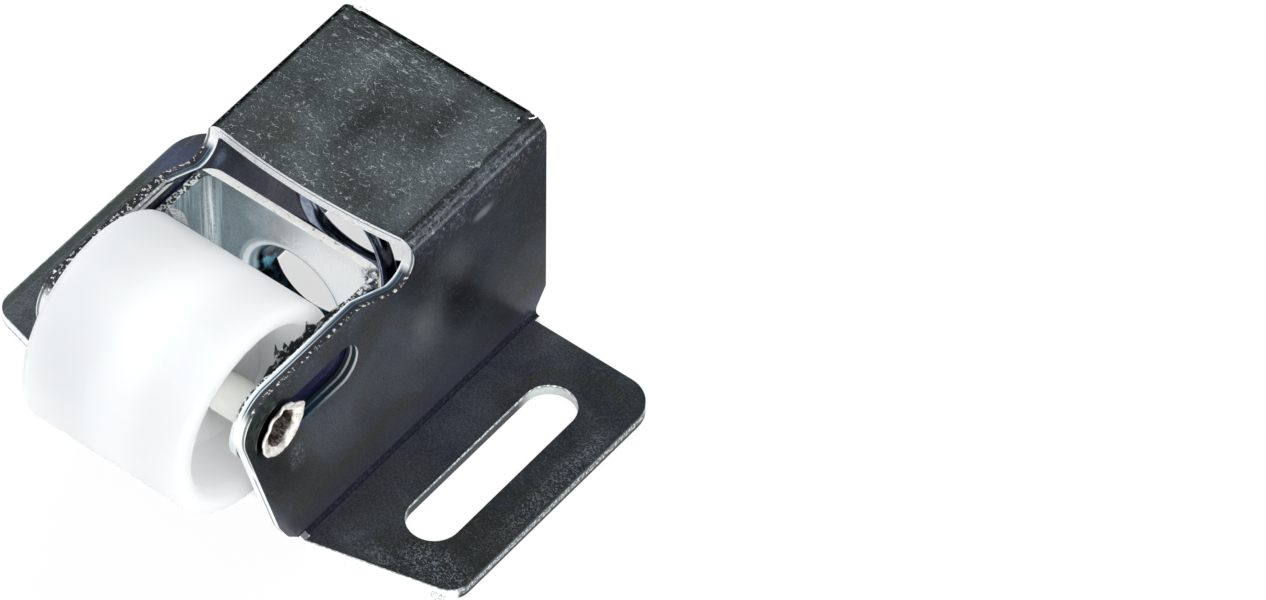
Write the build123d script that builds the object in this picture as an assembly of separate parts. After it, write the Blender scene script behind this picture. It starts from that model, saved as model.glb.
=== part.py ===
from build123d import *
import math
import os

# Sizes in millimetres. X runs across the catch, Y from the roller back to the rear wall, Z up from
# the face that the wings are screwed to. Y is 0 at the wings' rear edge until the export.

# hood bracket, one folded sheet
SHEET = 1.2
HOOD_W = 22.0
HOOD_H = 24.2
TOP_BEND_R = 1.5
FOOT_BEND_R = 0.5
REAR_BEND_R = 1.4
REAR_Y = 2.9
SIDE_REAR_Y = 2.2
SIDE_HEEL_Y = 0.6
HEEL_R = 0.6
REAR_WALL_FOOT_Z = 3.35
REAR_WALL_DROP = 3.4
REAR_WALL_GAP = 0.3
NOTCH_W = 0.6
PLATE_BOW = 0.65
WING_REACH = 14.0
WING_INNER_FRONT_Y = -30.5
WING_OUTER_FRONT_Y = -27.2
WING_FRONT_R = 2.0
WING_REAR_R = 3.0
WING_REAR_R_LEFT = 4.4
SCREW_SLOT_W = 4.9
SCREW_SLOT_L = 20.2
SCREW_SLOT_Y = -14.4
SCREW_SLOT_FROM_WALL = 7.45

# ears, the side walls' front parts that carry the axle's slots
EAR_ABOVE_AXLE = 5.25
EAR_NOSE_R = 3.5
EAR_FOOT_Y = -33.1
EAR_FOOT_Z = 4.75
EAR_FOOT_R = 3.0
EAR_SLOPE = 0.2857
EAR_RISE_LEFT = 0.7
DIP_DEPTH = 3.65
DIP_R = 2.0
DIP_FLOOR = 2.4
DIP_RUN = 7.0
DIP_END_R = 1.0
TOE_RUN = 1.1
TOE_Z = 2.6
TOE_R = 2.0
HEEL_RUN = 2.3
HEEL_ABOVE_WING = 0.25
FOLD_END_Y = -29.9

# slider channel, one folded sheet
CHANNEL_SHEET = 0.8
CHANNEL_BEND_R = 1.8
CHANNEL_FOOT_Z = 3.5
CHANNEL_NOSE_R = 4.0
CHANNEL_STEP_Y = 3.4
WEB_REAR_Y = -17.0
COLLAR_R = 5.0
COLLAR_DEPTH = 2.1
COLLAR_LEAD_R = 1.4

# axle rivet
AXLE_D = 3.6
AXLE_Y = -32.6
AXLE_BELOW_TOP = 6.7
TRAVEL = 8.2
RIVET_HEAD_D = 6.4
RIVET_HEAD_T = 1.2
RIVET_FLARE = 1.1
RIVET_RIM_T = 0.45
RIVET_TUBE_R = 1.4
RIVET_TUBE_DEPTH = 5.0

# roller
ROLLER_D = 19.7
ROLLER_LIP_OUT_R = 0.8
ROLLER_LIP_IN_R = 1.2
ROLLER_RIM_T = 2.1
HUB_R = 5.0
HUB_INSET = 3.6
GROOVE_INSET = 6.2

# compression spring
WIRE_D = 1.45
COILS = 3.5
OPEN_PITCH = 7.8
END_PITCH = 1.5
COIL_PHASE = -40.0

# named clearances
SLIDE_CLEARANCE = 0.1
AXLE_CLEARANCE = 0.05
SLOT_PLAY = 0.35
ROLLER_END_GAP = 0.3
ROLLER_PLATE_GAP = 0.27
RIVET_END_GAP = 0.12
SPRING_COLLAR_GAP = 0.375
SPRING_END_GAP = 0.02

# what follows from the sizes above
WALL_X = HOOD_W / 2
WALL_IN_X = WALL_X - SHEET
PLATE_UNDER_Z = HOOD_H - SHEET
WING_X = WALL_X + WING_REACH
FOLD_X = WALL_X + 0.6
AXLE_Z = HOOD_H - AXLE_BELOW_TOP
AXLE_R = AXLE_D / 2
SLOT_W = AXLE_D + 2 * SLOT_PLAY
ROLLER_R = ROLLER_D / 2
EAR_TOP_Z = AXLE_Z + EAR_ABOVE_AXLE
CHANNEL_X = WALL_IN_X - SLIDE_CLEARANCE
CHANNEL_IN_X = CHANNEL_X - CHANNEL_SHEET
CHANNEL_TOP_Z = AXLE_Z + CHANNEL_NOSE_R
WEB_HOLE_Z = (CHANNEL_TOP_Z + CHANNEL_FOOT_Z) / 2
COIL_R = COLLAR_R + SPRING_COLLAR_GAP + WIRE_D / 2
PLATE_RISE = PLATE_UNDER_Z - AXLE_Z
PLATE_TIP_Y = AXLE_Y + TRAVEL + math.sqrt((ROLLER_R + ROLLER_PLATE_GAP) ** 2 - PLATE_RISE**2)
PLATE_SIDE_Y = PLATE_TIP_Y + PLATE_BOW
FOLD_START_Y = REAR_Y - REAR_BEND_R - SHEET / 2
RELIEF_X = WALL_X - TOP_BEND_R - NOTCH_W + 0.1
CENTRE_Y = (REAR_Y + AXLE_Y - ROLLER_R) / 2
FAR = 60.0


def corner(sketch, u, v, radius):
    """Rounds the corner of a sketch nearest to the point u, v of its own plane."""
    target = min(sketch.vertices(), key=lambda p: (Vector(p) - Vector(u, v, 0)).length)
    return fillet(target, radius)


def outline(points, rounds):
    """A closed outline from its corners, with a radius at each corner that rounds names."""
    shape = make_face(Polyline(*points, close=True))
    for (u, v), radius in rounds:
        shape = corner(shape, u, v, radius)
    return shape


def across(shape, x0, x1):
    """A prism that carries a Y, Z outline from x0 to x1."""
    return Pos(x0, 0, 0) * extrude(Plane.YZ * shape, x1 - x0)


def folded_blank():
    """Half of the hood's section, wing, foot bend, wall, top bend and plate, run along Y."""
    points = [
        (0, HOOD_H),
        (WALL_X, HOOD_H),
        (WALL_X, SHEET),
        (WING_X, SHEET),
        (WING_X, 0),
        (WALL_IN_X, 0),
        (WALL_IN_X, PLATE_UNDER_Z),
        (0, PLATE_UNDER_Z),
    ]
    rounds = [
        ((WALL_X, HOOD_H), TOP_BEND_R),
        ((WALL_IN_X, PLATE_UNDER_Z), max(TOP_BEND_R - SHEET, 0.2)),
        ((WALL_X, SHEET), FOOT_BEND_R),
        ((WALL_IN_X, 0), FOOT_BEND_R + SHEET),
    ]
    section = outline(points, rounds)
    front = AXLE_Y - 12
    return Pos(0, REAR_Y, 0) * extrude(Plane.XZ * section, REAR_Y - front)


def ear_trim(rise):
    """What is cut away above and ahead of a side wall: the dip, the ear's top, nose and slant."""
    dip_z = HOOD_H - DIP_DEPTH + rise
    top_z = EAR_TOP_Z + rise
    nose_y = EAR_FOOT_Y - (top_z - EAR_FOOT_Z) * EAR_SLOPE
    dip_y = PLATE_SIDE_Y - DIP_FLOOR
    ramp_y = PLATE_SIDE_Y - DIP_RUN
    toe_y = EAR_FOOT_Y + TOE_RUN
    heel_z = SHEET + HEEL_ABOVE_WING
    points = [
        (PLATE_SIDE_Y, FAR),
        (PLATE_SIDE_Y, dip_z),
        (dip_y, dip_z),
        (ramp_y, top_z),
        (nose_y, top_z),
        (EAR_FOOT_Y, EAR_FOOT_Z),
        (toe_y, TOE_Z),
        (EAR_FOOT_Y + HEEL_RUN, heel_z),
        (FOLD_END_Y, heel_z),
        (FOLD_END_Y, -FAR),
        (-FAR, -FAR),
        (-FAR, FAR),
    ]
    rounds = [
        ((PLATE_SIDE_Y, dip_z), DIP_R),
        ((dip_y, dip_z), DIP_END_R),
        ((ramp_y, top_z), DIP_END_R),
        ((nose_y, top_z), EAR_NOSE_R),
        ((EAR_FOOT_Y, EAR_FOOT_Z), EAR_FOOT_R),
        ((toe_y, TOE_Z), TOE_R),
    ]
    return across(outline(points, rounds), WALL_X - TOP_BEND_R, FOLD_X)


def rear_trim():
    """What is cut away behind a side wall and slantwise behind its foot."""
    points = [
        (SIDE_REAR_Y, FAR),
        (SIDE_REAR_Y, REAR_WALL_FOOT_Z),
        (SIDE_HEEL_Y, SHEET),
        (SIDE_HEEL_Y, -FAR),
        (FAR, -FAR),
        (FAR, FAR),
    ]
    rounds = [
        ((SIDE_REAR_Y, REAR_WALL_FOOT_Z), HEEL_R),
        ((SIDE_HEEL_Y, SHEET), HEEL_R),
    ]
    return across(outline(points, rounds), WALL_X - TOP_BEND_R, FOLD_X)


def wing_trim(rear_r):
    """What is cut away round a wing, so that it keeps its slanted front and rounded corners."""
    points = [
        (FOLD_X, WING_INNER_FRONT_Y),
        (WING_X, WING_OUTER_FRONT_Y),
        (WING_X, 0),
        (FOLD_X, 0),
    ]
    rounds = [
        ((WING_X, WING_OUTER_FRONT_Y), WING_FRONT_R),
        ((WING_X, 0), rear_r),
    ]
    wing = outline(points, rounds)
    around = Pos(FOLD_X + FAR / 2, 0) * Rectangle(FAR, 2 * FAR)
    return Pos(0, 0, -1) * extrude(around - wing, SHEET + 2)


def plate_trim():
    """What is cut away ahead of the top plate's bowed front edge."""
    half_w = WALL_X - TOP_BEND_R
    edge = ThreePointArc((-half_w, PLATE_SIDE_Y), (0, PLATE_TIP_Y), (half_w, PLATE_SIDE_Y))
    rest = Polyline((half_w, PLATE_SIDE_Y), (half_w, -FAR), (-half_w, -FAR), (-half_w, PLATE_SIDE_Y))
    area = make_face([edge, *rest.edges()])
    return Pos(0, 0, PLATE_UNDER_Z - 1) * extrude(area, SHEET + 2)


def rear_fold():
    """Half of the rear wall with its bend from the top plate, relieved at the bend's end."""
    inner_y = REAR_Y - SHEET
    points = [
        (FOLD_START_Y, HOOD_H),
        (REAR_Y, HOOD_H),
        (REAR_Y, REAR_WALL_FOOT_Z),
        (inner_y, REAR_WALL_FOOT_Z),
        (inner_y, PLATE_UNDER_Z),
        (FOLD_START_Y, PLATE_UNDER_Z),
    ]
    rounds = [
        ((REAR_Y, HOOD_H), REAR_BEND_R),
        ((inner_y, PLATE_UNDER_Z), max(REAR_BEND_R - SHEET, 0.2)),
    ]
    half_w = WALL_IN_X - REAR_WALL_GAP
    fold = across(outline(points, rounds), 0, half_w)
    relief = Box(FAR, FAR, FAR, align=(Align.MIN, Align.CENTER, Align.MIN))
    return fold - Pos(RELIEF_X, 0, HOOD_H - REAR_WALL_DROP) * relief


def fold_room():
    """The strip of the blank's top plate that gives way to the rear fold and its relief notch."""
    strip = Box(RELIEF_X, FAR, 4 * SHEET, align=(Align.MIN, Align.MIN, Align.CENTER))
    notch = Rectangle(NOTCH_W, FAR, align=(Align.CENTER, Align.MIN)) + Circle(NOTCH_W / 2)
    slot = Pos(RELIEF_X + NOTCH_W / 2, 0) * extrude(notch, 2 * SHEET, both=True)
    return Pos(0, FOLD_START_Y, HOOD_H) * (strip + slot)


def long_slot(width, length):
    """A round-ended slot along the first axis of its sketch."""
    return SlotOverall(length, width)


def hood_half(ear_rise, wing_rear_r):
    """Half of the hood: the blank cut to its outlines, with the rear fold and the slots."""
    half = folded_blank() - ear_trim(ear_rise) - rear_trim() - wing_trim(wing_rear_r) - plate_trim()
    half = half - fold_room() + rear_fold()
    axle_slot = Pos(AXLE_Y + TRAVEL / 2, AXLE_Z) * long_slot(SLOT_W, TRAVEL + AXLE_D)
    half = half - across(axle_slot, WALL_IN_X - 1, WALL_X + 1)
    screw_slot = Rot(0, 0, 90) * long_slot(SCREW_SLOT_W, SCREW_SLOT_L)
    place = Pos(WALL_X + SCREW_SLOT_FROM_WALL, SCREW_SLOT_Y)
    return half - extrude(place * screw_slot, SHEET + 1, both=True)


def hood_bracket():
    """The folded hood. Its left ear stands a little higher and its left wing is rounder behind."""
    right = hood_half(0, WING_REAR_R)
    left = hood_half(EAR_RISE_LEFT, WING_REAR_R_LEFT)
    return right + mirror(left, Plane.YZ)


def collar():
    """The flanged rim of the web's hole: the sheet turned back into a short tube."""
    front_y = WEB_REAR_Y - CHANNEL_SHEET
    hole_r = COLLAR_R - CHANNEL_SHEET
    outer_r = COLLAR_R + 1.2
    points = [
        (outer_r, front_y),
        (hole_r, front_y),
        (hole_r, WEB_REAR_Y + COLLAR_DEPTH),
        (COLLAR_R, WEB_REAR_Y + COLLAR_DEPTH),
        (COLLAR_R, WEB_REAR_Y),
        (outer_r, WEB_REAR_Y),
    ]
    rounds = [
        ((hole_r, front_y), COLLAR_LEAD_R),
        ((COLLAR_R, WEB_REAR_Y), COLLAR_LEAD_R - CHANNEL_SHEET),
    ]
    ring = revolve(outline(points, rounds), Axis.Y)
    return Pos(0, 0, WEB_HOLE_Z) * ring


def leg_outline():
    """The channel seen from the side: full height at the web, a round nose about the axle."""
    knee_y = WEB_REAR_Y - CHANNEL_STEP_Y
    run = AXLE_Y - knee_y
    rise = AXLE_Z - CHANNEL_FOOT_Z
    reach = math.hypot(run, rise)
    swing = math.atan2(rise, run) + math.asin(CHANNEL_NOSE_R / reach)
    touch = math.sqrt(reach**2 - CHANNEL_NOSE_R**2)
    touch_y = knee_y + touch * math.cos(swing)
    touch_z = CHANNEL_FOOT_Z + touch * math.sin(swing)
    lead = Polyline(
        (AXLE_Y, CHANNEL_TOP_Z),
        (FAR, CHANNEL_TOP_Z),
        (FAR, CHANNEL_FOOT_Z),
        (knee_y, CHANNEL_FOOT_Z),
        (touch_y, touch_z),
    )
    nose = ThreePointArc((touch_y, touch_z), (AXLE_Y - CHANNEL_NOSE_R, AXLE_Z), (AXLE_Y, CHANNEL_TOP_Z))
    return make_face([*lead.edges(), nose])


def slider_channel():
    """The U that slides in the hood: bent legs with a nose, axle holes and a flanged web."""
    front_y = AXLE_Y - CHANNEL_NOSE_R - 2
    web_front_y = WEB_REAR_Y - CHANNEL_SHEET
    points = [
        (-CHANNEL_X, front_y),
        (-CHANNEL_X, WEB_REAR_Y),
        (CHANNEL_X, WEB_REAR_Y),
        (CHANNEL_X, front_y),
        (CHANNEL_IN_X, front_y),
        (CHANNEL_IN_X, web_front_y),
        (-CHANNEL_IN_X, web_front_y),
        (-CHANNEL_IN_X, front_y),
    ]
    rounds = [
        ((-CHANNEL_X, WEB_REAR_Y), CHANNEL_BEND_R),
        ((CHANNEL_X, WEB_REAR_Y), CHANNEL_BEND_R),
        ((CHANNEL_IN_X, web_front_y), CHANNEL_BEND_R - CHANNEL_SHEET),
        ((-CHANNEL_IN_X, web_front_y), CHANNEL_BEND_R - CHANNEL_SHEET),
    ]
    channel = extrude(outline(points, rounds), FAR)
    channel = channel & across(leg_outline(), -FAR, FAR)
    hole_r = AXLE_R + AXLE_CLEARANCE
    channel = channel - across(Pos(AXLE_Y, AXLE_Z) * Circle(hole_r), -FAR, FAR)
    opening = Pos(0, WEB_REAR_Y, WEB_HOLE_Z) * Rot(90, 0, 0) * Cylinder(COLLAR_R + 1.2, 4)
    return channel - opening + collar()


def on_axle(section):
    """Turns a section given as distance along the axle and radius about the axle's line."""
    return Pos(0, AXLE_Y, AXLE_Z) * revolve(section, Axis.X)


def axle_rivet():
    """The semi-tubular rivet: a low domed head, the shank, and the far end spread to a rim."""
    head_x = -WALL_X - RIVET_END_GAP
    head_r = RIVET_HEAD_D / 2
    rim_r = AXLE_R + RIVET_FLARE
    under_x = WALL_X + RIVET_END_GAP
    tip_x = under_x + RIVET_RIM_T
    tube_end = under_x - RIVET_TUBE_DEPTH
    dome = ThreePointArc(
        (head_x - RIVET_HEAD_T, 0),
        (head_x - RIVET_HEAD_T * 0.8, head_r * 0.6),
        (head_x - 0.3, head_r),
    )
    shank = Polyline((head_x - 0.3, head_r), (head_x, head_r), (head_x, AXLE_R), (under_x - 0.1, AXLE_R))
    flare = ThreePointArc((under_x - 0.1, AXLE_R), (under_x + 0.02, AXLE_R + 0.42), (under_x + 0.2, rim_r))
    rim = ThreePointArc((under_x + 0.2, rim_r), (tip_x - 0.07, rim_r - 0.02), (tip_x, rim_r - 0.22))
    funnel = ThreePointArc((tip_x, rim_r - 0.22), (under_x + 0.15, AXLE_R - 0.05), (under_x - 0.6, RIVET_TUBE_R))
    tube = Polyline(
        (under_x - 0.6, RIVET_TUBE_R),
        (tube_end, RIVET_TUBE_R),
        (tube_end - 0.7, 0),
        (head_x - RIVET_HEAD_T, 0),
    )
    section = make_face([dome, *shank.edges(), flare, rim, funnel, *tube.edges()])
    return on_axle(section)


def roller():
    """The moulded roller: rim, rounded lips, a deep groove at each end and a bored hub."""
    half = CHANNEL_IN_X - ROLLER_END_GAP
    hub_x = half - HUB_INSET
    floor_x = half - GROOVE_INSET
    bore_r = AXLE_R + AXLE_CLEARANCE
    mouth_r = ROLLER_R - ROLLER_RIM_T
    points = [
        (0, bore_r),
        (hub_x, bore_r),
        (hub_x, HUB_R),
        (floor_x, HUB_R + 0.15),
        (floor_x, mouth_r - 0.25),
        (half, mouth_r),
        (half, ROLLER_R),
        (0, ROLLER_R),
    ]
    rounds = [
        ((hub_x, HUB_R), 0.4),
        ((floor_x, HUB_R + 0.15), 0.6),
        ((floor_x, mouth_r - 0.25), 0.6),
        ((half, mouth_r), ROLLER_LIP_IN_R),
        ((half, ROLLER_R), ROLLER_LIP_OUT_R),
    ]
    section = outline(points, rounds)
    return on_axle(section + mirror(section, Plane.YZ))


def coil_share(turn):
    """How open the coil is at a turn: 0 on the closed end turns, 1 on the open ones."""
    length = REAR_Y - SHEET - WEB_REAR_Y - WIRE_D - 2 * SPRING_END_GAP
    closed = COILS - (length - END_PITCH * COILS) / (OPEN_PITCH - END_PITCH)
    ramp = 0.5
    start = (closed - ramp) / 2
    near = min(turn, COILS - turn)
    return min(max((near - start) / ramp, 0.0), 1.0)


def compression_spring():
    """A round-wire spring with closed ends and an open middle, standing round the collar."""
    steps = 16
    count = int(COILS * steps)
    fine = 20
    front_y = WEB_REAR_Y + SPRING_END_GAP + WIRE_D / 2
    points = []
    y = front_y
    for i in range(count + 1):
        turn = i / steps
        angle = math.radians(COIL_PHASE + 360 * turn)
        points.append((COIL_R * math.cos(angle), y, WEB_HOLE_Z + COIL_R * math.sin(angle)))
        for j in range(fine):
            share = coil_share(turn + (j + 0.5) / (steps * fine))
            y += (END_PITCH + (OPEN_PITCH - END_PITCH) * share) / (steps * fine)
    path = Spline(*points)
    section = Plane(path @ 0, z_dir=path % 0) * Circle(WIRE_D / 2)
    return sweep(section, path=path, is_frenet=True)


def main():
    os.makedirs("parts", exist_ok=True)
    pieces = {
        "hood_bracket": hood_bracket(),
        "slider_channel": slider_channel(),
        "compression_spring": compression_spring(),
        "axle_rivet": axle_rivet(),
        "roller": roller(),
    }
    for name, shape in pieces.items():
        export_step(Pos(0, -CENTRE_Y, 0) * shape, f"parts/{name}.step")


main()
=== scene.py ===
import bpy
import bmesh
import math
from mathutils import Matrix, Vector


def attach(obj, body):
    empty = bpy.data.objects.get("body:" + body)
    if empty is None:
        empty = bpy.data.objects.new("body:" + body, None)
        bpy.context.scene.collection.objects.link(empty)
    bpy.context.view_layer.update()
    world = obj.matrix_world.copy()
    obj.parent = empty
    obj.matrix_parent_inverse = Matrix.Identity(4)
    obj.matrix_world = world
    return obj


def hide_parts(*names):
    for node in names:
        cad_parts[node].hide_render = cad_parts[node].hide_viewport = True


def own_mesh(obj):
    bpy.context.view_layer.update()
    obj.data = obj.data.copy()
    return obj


# Metres, in the CAD frame. The photograph's camera was fitted to the object's edges.
CAMERA_PLACE = (0.33674, -0.390875, 0.61898)
CAMERA_RIGHT = (0.78656, 0.61744, 0.00982)
CAMERA_UP = (-0.47512, 0.59494, 0.64831)
CAMERA_BACK = (0.39445, -0.5146, 0.76131)
CAMERA_LENS_MM = 272.8
CAMERA_SENSOR_MM = 36.0

# The studio, in metres. Each lamp: its name, place, target, size, watts and whether reflections show it.
FLOOR_REACH = 4.0
FLOOR_DROP = 0.00002
LAMPS = [
    ("lamp_key", (-0.15, -0.5, 0.86), (0, -0.01, 0.01), 0.6, 0.25, True),
    ("lamp_fill", (0.85, -0.5, 0.25), (0, 0, 0.01), 0.4, 1.3, True),
    ("lamp_back", (0.52, 0.47, 0.58), (0, 0, 0.02), 0.3, 0.15, True),
    ("lamp_front", (0.4, -0.6, 0.5), (0, -0.01, 0.01), 0.5, 1.7, False),
    ("lamp_top", (-0.12, 0.42, 0.8), (0, 0, 0.01), 0.5, 6.9, False),
    ("lamp_side", (0.85, -0.42, 0.3), (0, -0.01, 0.015), 0.4, 2.3, False),
]

# The spring, in metres, as in the CAD.
REAR_WALL_IN_Y = 0.021475
WEB_REAR_Y = 0.002775
COIL_CENTRE_Z = 0.0125
COIL_R = 0.0061
WIRE_R = 0.000725
COILS = 3.5
OPEN_PITCH = 0.0078
END_PITCH = 0.0015
COIL_PHASE_DEG = -40.0
SPRING_END_GAP = 0.00002
WIRE_SIDES = 24
STEPS_A_TURN = 96

# All below is in millimetres, in the CAD frame.
MM = 0.001
AXLE = (-12.825, 17.5)
WEB_HOLE = (0.0, 12.5)

# The hood, as in the CAD: its side walls' outer faces, its plate's and wings' tops and its bends.
HOOD_X = 11.0
PLATE_Z = 24.2
WING_Z = 1.2
TOP_BEND_R = 1.5
TOP_BEND_X = HOOD_X - TOP_BEND_R
TOP_BEND_Z = PLATE_Z - TOP_BEND_R
REAR_BEND_R = 1.4
REAR_BEND_Y = 21.275
WALL_REAR_Y = 21.96

# The rivet's turned profile from the head's middle to the bottom of its hollow, as x and radius, with the
# share of the spread rim's waviness at each point. The points from RIVET_HOLLOW_FROM on are the hollow.
RIVET_PROFILE = [
    (-12.32, 0.0, 0), (-12.3, 0.7, 0), (-12.22, 1.3, 0), (-12.05, 2.0, 0), (-11.8, 2.6, 0), (-11.55, 3.02, 0),
    (-11.42, 3.17, 0), (-11.3, 3.2, 0), (-11.18, 3.19, 0), (-11.12, 3.12, 0), (-11.12, 2.4, 0), (-11.12, 1.85, 0),
    (-11.08, 1.8, 0), (-9.0, 1.8, 0), (-3.0, 1.8, 0), (3.0, 1.8, 0), (9.0, 1.8, 0), (10.6, 1.8, 0), (11.02, 1.8, 0),
    (11.13, 1.98, 0.2), (11.17, 2.25, 0.5), (11.22, 2.55, 0.8), (11.30, 2.78, 1), (11.38, 2.88, 1), (11.47, 2.88, 1),
    (11.55, 2.8, 1), (11.56, 2.68, 1), (11.45, 2.4, 1), (11.34, 2.14, 0.9), (11.22, 1.92, 0.8), (11.05, 1.72, 0.6),
    (10.8, 1.55, 0.35), (10.5, 1.43, 0.15), (9.8, 1.4, 0), (8.4, 1.4, 0), (6.2, 1.38, 0), (5.8, 1.0, 0), (5.45, 0.4, 0),
    (5.42, 0.0, 0),
]
RIVET_HOLLOW_FROM = 29
RIVET_SIDES = 144
RIM_MOST_R = 2.9
RIM_MOST_X = 11.57
RIM_LIFT_MM = 0.3

# The rim's reach and lift at turns about the axle, from +Y towards +Z, as shares of the round rim's.
RIM_TURNS = [-180, -153, -119, -94, -64, -29, 0, 27, 50, 72, 90, 106, 122, 145, 168, 180]
RIM_REACH = [1.0, 0.96, 0.9, 0.83, 0.74, 0.70, 0.79, 0.96, 0.86, 0.93, 1.0, 0.88, 1.0, 0.93, 0.99, 1.0]
RIM_LIFT = [0.1, 0.05, 0.0, 0.1, 0.3, 0.4, 0.3, 0.3, 0.0, -0.02, 0.0, -0.04, 0.0, 0.05, 0.05, 0.1]

# The burr along the right bend's rear edge: its steps, where it starts, how far it turns and its width.
BURR_STEPS = 40
BURR_FROM_DEG = 96
BURR_TURN_DEG = 118
BURR_WIDE = 0.16

# The torn edge on the channel's right leg: its foot and, along it, places in y with the burr's height.
TORN_FOOT_Z = 21.42
TORN_HEIGHTS = [
    (-12.2, 0.05), (-11.7, 0.35), (-11.2, 0.5), (-10.9, 0.3), (-10.6, 0.7), (-10.4, 1.15), (-10.25, 2.0),
    (-10.05, 1.3), (-9.8, 1.05), (-9.55, 0.75), (-9.35, 1.0), (-9.2, 1.45), (-9.0, 0.9), (-8.7, 0.7), (-8.4, 0.95),
    (-8.1, 0.6), (-7.7, 0.75), (-7.3, 0.5), (-6.9, 0.6), (-6.6, 0.8), (-6.4, 1.5), (-6.2, 1.0), (-5.9, 0.75),
    (-5.5, 0.45), (-5.0, 0.4), (-4.4, 0.3), (-3.6, 0.3), (-2.8, 0.2), (-2.0, 0.05),
]

# The shavings at the hood's rear corners, as spines of points, each with its half width.
SHAVINGS = [
    ("burr_rear_left", [
        (-10.0, 22.0, 24.08, 0.04), (-9.75, 22.05, 24.12, 0.12), (-9.45, 22.12, 24.1, 0.16), (-9.2, 22.3, 24.06, 0.07),
        (-9.0, 22.36, 24.03, 0.15), (-8.7, 22.45, 23.98, 0.17), (-8.4, 22.52, 23.92, 0.06),
    ]),
    ("burr_rear_right", [
        (9.28, 22.0, 24.16, 0.03), (9.5, 22.0, 24.18, 0.1), (9.8, 21.95, 24.15, 0.08), (9.98, 21.86, 24.12, 0.11),
        (9.94, 21.74, 24.13, 0.06), (9.87, 21.62, 24.15, 0.1), (9.79, 21.5, 24.17, 0.06), (9.7, 21.38, 24.18, 0.1),
        (9.62, 21.28, 24.19, 0.02),
    ]),
    ("burr_dot", [
        (9.0, 20.9, 24.19, 0.02), (8.96, 20.8, 24.2, 0.09), (8.94, 20.7, 24.2, 0.07), (8.93, 20.62, 24.2, 0.02),
    ]),
]
SHAVING_DEPTH = 0.12

# The metal squeezed up over the rear left notch: its columns in x, its rows in y and how far it stands up.
BULGE_COLUMNS = [-10.3 + 0.175 * i for i in range(9)]
BULGE_ROWS = [20.3, 20.8, 21.0, 21.2, 21.4, 21.6, 21.75, 21.9, 22.02]
BULGE_RISE = 0.012
BULGE_EDGE_DROP = 0.03
BULGE_DEPTH = 0.16

# The corners and the thickness of the two flakes.
NUB_CORNERS = [
    (22.75, -8.1, 0.04), (23.15, -8.35, 0.06), (23.75, -8.15, 0.05), (24.05, -7.7, 0.04), (23.6, -7.4, 0.04),
    (22.9, -7.6, 0.04),
]
NUB_RISE = (0, 0, 0.38)
FLAKE_CORNERS = [
    (-8.75, -3.3, 21.9), (-8.2, -2.5, 21.2), (-8.1, -2.1, 20.5), (-8.15, -1.7, 19.2), (-8.3, -1.4, 18.2),
    (-8.7, -1.9, 18.9), (-8.75, -2.6, 19.9),
]
FLAKE_RISE = (-0.05, 0, 0)

# Soft patches on the hood: the middle, the reach along each axis, the softness and, if not 1, the strength.
# Painted sheen: pale patches that stand in for the plate's broad reflections.
SHEEN_ON_PLATE = [
    ((7.5, 15.0, PLATE_Z), (3.2, 8.5, 2.0), 0.9),
    ((-4.4, 17.6, PLATE_Z), (2.2, 5.5, 2.0), 0.9),
    ((8.0, 8.0, PLATE_Z), (1.6, 5.0, 2.0), 0.9),
]
OLIVE_ON_PLATE = [
    ((1.8, 14.0, PLATE_Z), (5.5, 5.0, 2.0), 0.9),
    ((-8.8, 18.5, PLATE_Z), (2.5, 3.0, 2.0), 0.9),
    ((-5.6, 7.2, PLATE_Z), (3.2, 2.6, 2.0), 0.8),
    ((3.6, 6.2, PLATE_Z), (4.5, 3.0, 2.0), 0.9),
]
DARK_ON_PLATE = [
    ((-7.5, 20.5, PLATE_Z), (4.5, 2.2, 2.0), 0.9),
    ((8.6, 3.2, PLATE_Z), (3.6, 2.8, 2.0), 0.9),
    ((-0.8, 11.5, PLATE_Z), (1.8, 6.5, 2.0), 0.9),
    ((4.2, 16.5, PLATE_Z), (2.0, 5.5, 2.0), 0.9),
]
RUST_ON_PLATE = [((-6.0, 8.2, PLATE_Z), (3.4, 3.4, 2.0), 0.9)]
# Painted blue sheen high on the hood's left inner wall.
SHEEN_INSIDE = [((-9.8, 4.6, 20.2), (1.0, 1.3, 1.3), 0.9), ((-9.8, -1.0, 21.4), (1.0, 3.0, 1.2), 0.8, 0.7)]
# Dust on the wings, and a painted blue-white sheen on the right wall beside the rivet.
DUST_AND_SHEEN = [
    ((21.5, -6.2, WING_Z), (6.0, 3.0, 2.0), 0.9),
    ((24.0, 7.0, WING_Z), (1.6, 12.0, 2.0), 0.8, 0.7),
    ((16.0, -8.2, WING_Z), (6.0, 1.5, 2.0), 0.8),
    ((HOOD_X, -10.8, 11.8), (0.6, 1.3, 2.6), 0.9),
    ((-23.0, -3.0, WING_Z), (3.0, 9.0, 2.0), 0.9, 0.7),
]

# Fine curved scratches on the hood: the turn in degrees, the scale, width, share shown, bend and strength.
SCRATCHES = [
    (5, (0.5, 1.3, 1.0), 0.028, 0.4, 1.9, 0.6),
    (-35, (0.7, 1.9, 1.3), 0.03, 0.38, 1.9, 0.55),
    (60, (0.6, 1.6, 1.2), 0.03, 0.4, 1.9, 0.6),
    (110, (0.9, 1.2, 1.2), 0.03, 0.46, 2.6, 0.8),
]


def link_or_set(tree, socket, value):
    """Joins an output to a socket, or sets its own value, opaque for a colour."""
    if isinstance(value, bpy.types.NodeSocket):
        tree.links.new(value, socket)
    elif socket.type == "RGBA":
        socket.default_value = (*value, 1.0)
    else:
        socket.default_value = value


def add(tree, kind, inputs=None, **settings):
    """Adds a node, with its settings and its inputs, by name or number."""
    node = tree.nodes.new(kind)
    for name, value in settings.items():
        setattr(node, name, value)
    for name, value in (inputs or {}).items():
        link_or_set(tree, node.inputs[name], value)
    return node


def calc(tree, operation, a, b=0.0, c=0.0):
    """One step of arithmetic."""
    node = add(tree, "ShaderNodeMath", {0: a, 1: b, 2: c}, operation=operation)
    return node.outputs[0]


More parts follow.
